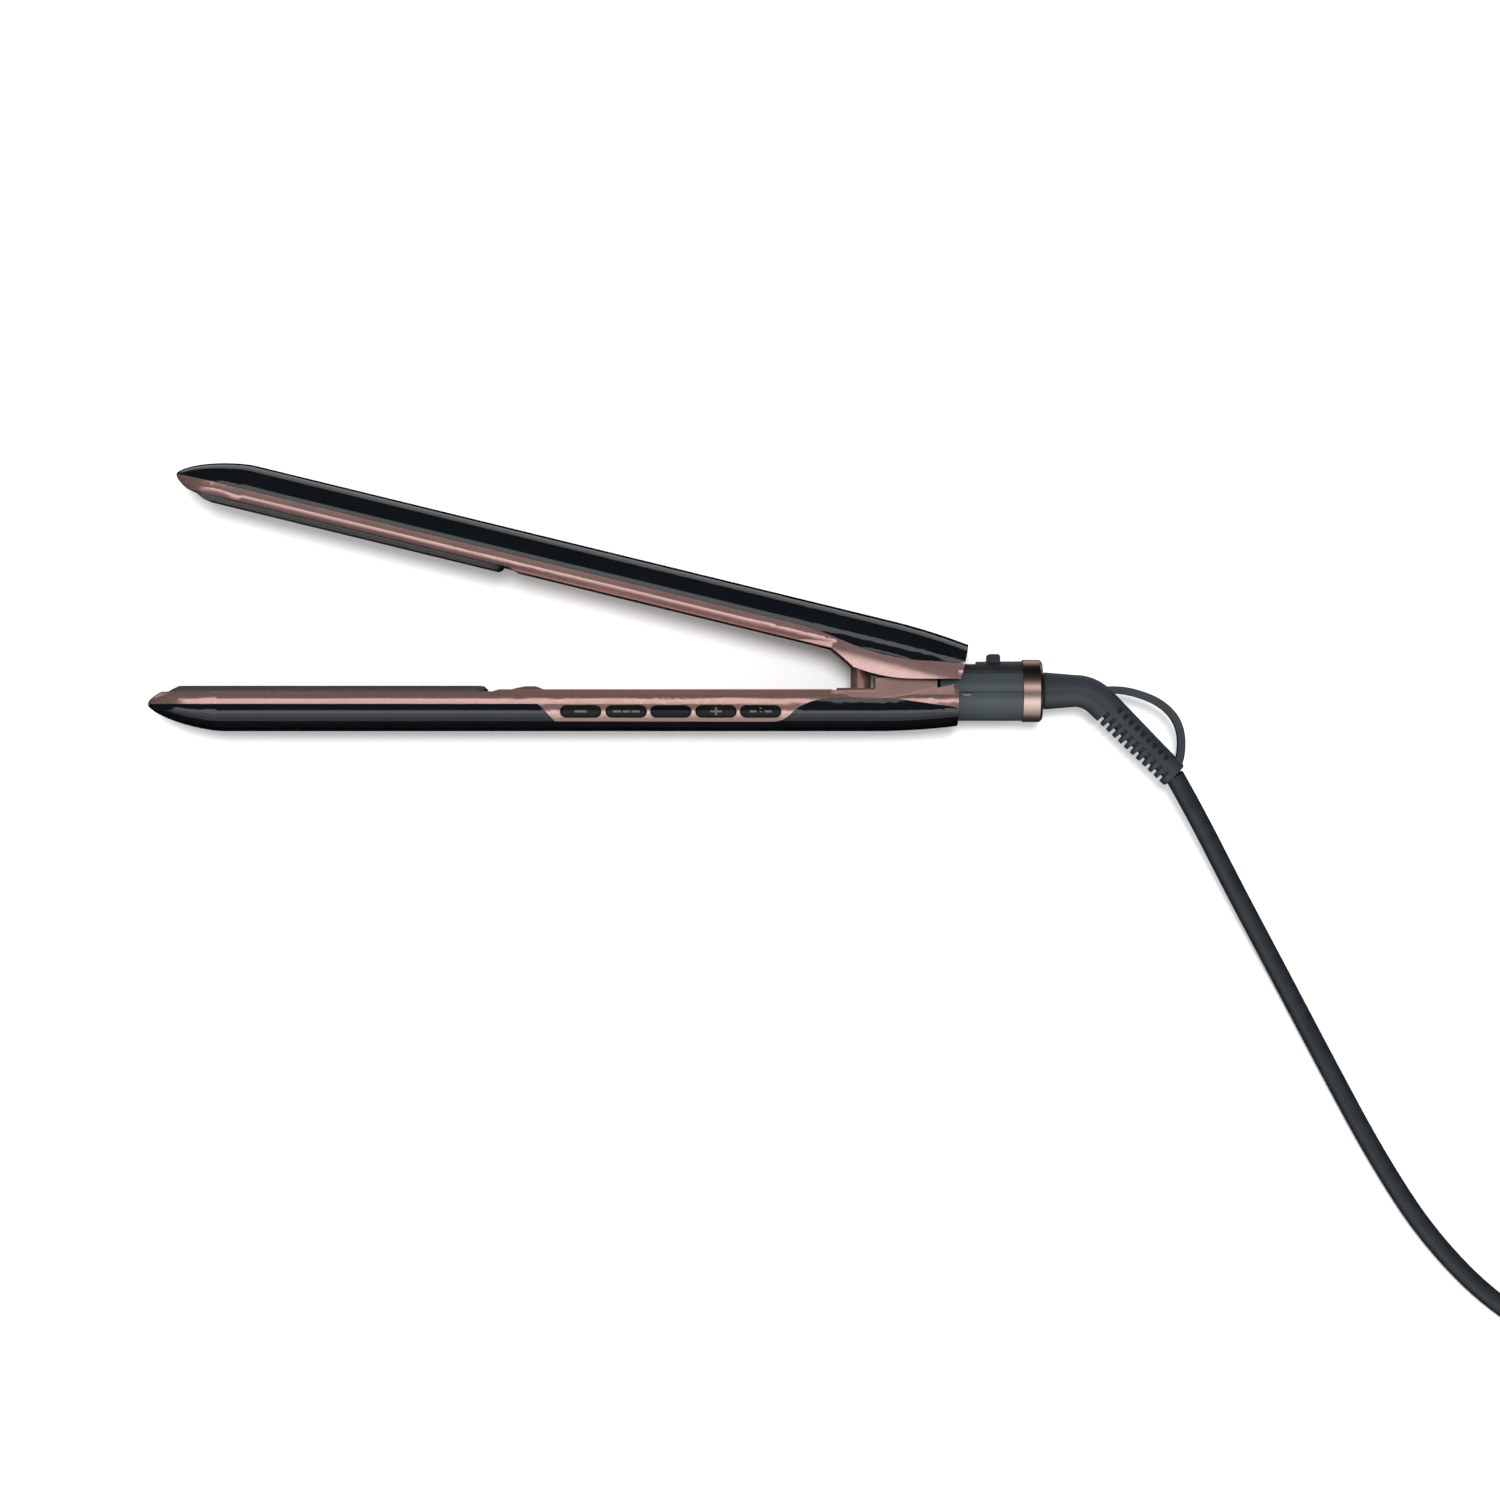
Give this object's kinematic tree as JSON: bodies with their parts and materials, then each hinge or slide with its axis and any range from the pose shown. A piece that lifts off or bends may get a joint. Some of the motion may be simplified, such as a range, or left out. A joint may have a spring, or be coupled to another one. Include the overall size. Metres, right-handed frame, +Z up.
{
  "type": "flat iron",
  "caption": "Open two-arm hair straightener lying on its side, with heated floating plates, side keys and display, swivel elbow, hang loop and a coiled lead with a flat two-pin plug.",
  "frame": {"origin": "bottom centre of the iron's box, without its lead, as it lies on its side", "axes": "+X along the iron from its nose to its lead, +Y across towards the upper arm, +Z up, along the hinge pin"},
  "size_m": [0.5565, 0.3082, 0.0332],
  "materials": {
    "black_gloss": "high gloss",
    "rose_paint": "pearl metallic paint, satin",
    "grey_neck": "satin gloss",
    "dark_plastic": "satin",
    "rose_plating": "rose gold metallised",
    "soft_grey": "soft satin",
    "lead_sheath": "soft satin",
    "plug_plastic": "fine grain",
    "pin_metal": "nickel plated",
    "plate_coat": "ceramic coated, fine satin",
    "steel": "bright",
    "spring_steel": "bright",
    "heater_ceramic": "matt",
    "sheet_steel": "rolled",
    "carrier_plastic": "glass filled",
    "board_green": "solder mask",
    "component_plastic": "satin",
    "display_window": "clear dark",
    "display_frame": "matt",
    "key_caps": "satin rose grey",
    "switch_metal": "satin",
    "wire_sleeve": "braided glass sleeve",
    "contact_brass": "bright",
    "tie_rubber": "satin",
    "nub_rubber": "satin"
  },
  "bodies": {
    "lower_arm": {"lower_shell": "black_gloss", "lower_housing": "rose_paint", "display_window": "display_window", "display_module": "display_frame", "control_board": "board_green", "key_switches": "switch_metal", "power_board": "board_green", "power_parts": "component_plastic", "lower_plate_carrier": "carrier_plastic", "lower_plate_springs": "spring_steel", "lower_leads": "wire_sleeve", "stop_nub": "nub_rubber", "spring_post": "rose_paint", "opening_spring": "spring_steel", "lower_screws": "steel", "neck_lower_half": "grey_neck", "neck_upper_half": "grey_neck", "slider_rail": "dark_plastic", "neck_screws": "steel", "neck_ring": "rose_plating", "hinge_pin": "steel", "hinge_washers": "contact_brass", "swivel_contacts": "contact_brass"},
    "lower_plate": {"lower_plate": "plate_coat", "lower_heater": "heater_ceramic", "lower_heater_clamp": "sheet_steel", "lower_sensor": "heater_ceramic"},
    "upper_arm": {"upper_shell": "black_gloss", "upper_housing": "rose_paint", "upper_plate_carrier": "carrier_plastic", "upper_plate_springs": "spring_steel", "upper_leads": "wire_sleeve", "upper_screws": "steel", "hinge_lug": "rose_paint", "spring_cup": "dark_plastic"},
    "upper_plate": {"upper_plate": "plate_coat", "upper_heater": "heater_ceramic", "upper_heater_clamp": "sheet_steel", "thermal_fuse": "heater_ceramic"},
    "minus_key": {"key_minus": "key_caps"},
    "mode_key": {"key_mode": "key_caps"},
    "plus_key": {"key_plus": "key_caps"},
    "power_key": {"key_power": "key_caps"},
    "lock_slider": {"lock_slider": "dark_plastic"},
    "swivel": {"swivel_spigot": "dark_plastic", "swivel_rings": "contact_brass", "elbow_sleeve": "soft_grey", "hang_loop": "soft_grey", "cord": "lead_sheath", "cord_tail": "lead_sheath", "cord_coil": "lead_sheath", "cord_tie": "tie_rubber", "plug_body": "plug_plastic", "plug_pins": "pin_metal"}
  },
  "joints": [
    {"name": "arm_hinge", "type": "hinge", "parent": "lower_arm", "child": "upper_arm", "pos_m": [0.09978, -0.02224, 0.01652], "axis": [0, 0, 1], "range_deg": [0, 13.7], "stiffness_Nm_per_rad": 1.2, "springref_deg": -20.05, "deforming": ["opening_spring"]},
    {"name": "lower_plate_float", "type": "slide", "parent": "lower_arm", "child": "lower_plate", "axis": [0, -1, 0], "range_m": [0, 0.0008], "stiffness_N_per_m": 2000, "springref_m": -0.002, "deforming": ["lower_plate_springs"]},
    {"name": "upper_plate_float", "type": "slide", "parent": "upper_arm", "child": "upper_plate", "axis": [0.2368, 0.9715, 0], "range_m": [0, 0.0008], "stiffness_N_per_m": 2000, "springref_m": -0.002, "deforming": ["upper_plate_springs"]},
    {"name": "minus_press", "type": "slide", "parent": "lower_arm", "child": "minus_key", "axis": [0, 0, -1], "range_m": [0, 0.0004], "stiffness_N_per_m": 800, "springref_m": -0.0004},
    {"name": "mode_press", "type": "slide", "parent": "lower_arm", "child": "mode_key", "axis": [0, 0, -1], "range_m": [0, 0.0004], "stiffness_N_per_m": 800, "springref_m": -0.0004},
    {"name": "plus_press", "type": "slide", "parent": "lower_arm", "child": "plus_key", "axis": [0, 0, -1], "range_m": [0, 0.0004], "stiffness_N_per_m": 800, "springref_m": -0.0004},
    {"name": "power_press", "type": "slide", "parent": "lower_arm", "child": "power_key", "axis": [0, 0, -1], "range_m": [0, 0.0004], "stiffness_N_per_m": 800, "springref_m": -0.0004},
    {"name": "lock_slide", "type": "slide", "parent": "lower_arm", "child": "lock_slider", "axis": [-1, 0, 0], "range_m": [0, 0.0045]},
    {"name": "swivel_turn", "type": "hinge", "parent": "lower_arm", "child": "swivel", "pos_m": [0.12178, -0.02224, 0.01652], "axis": [-1, 0, 0], "continuous": true}
  ]
}
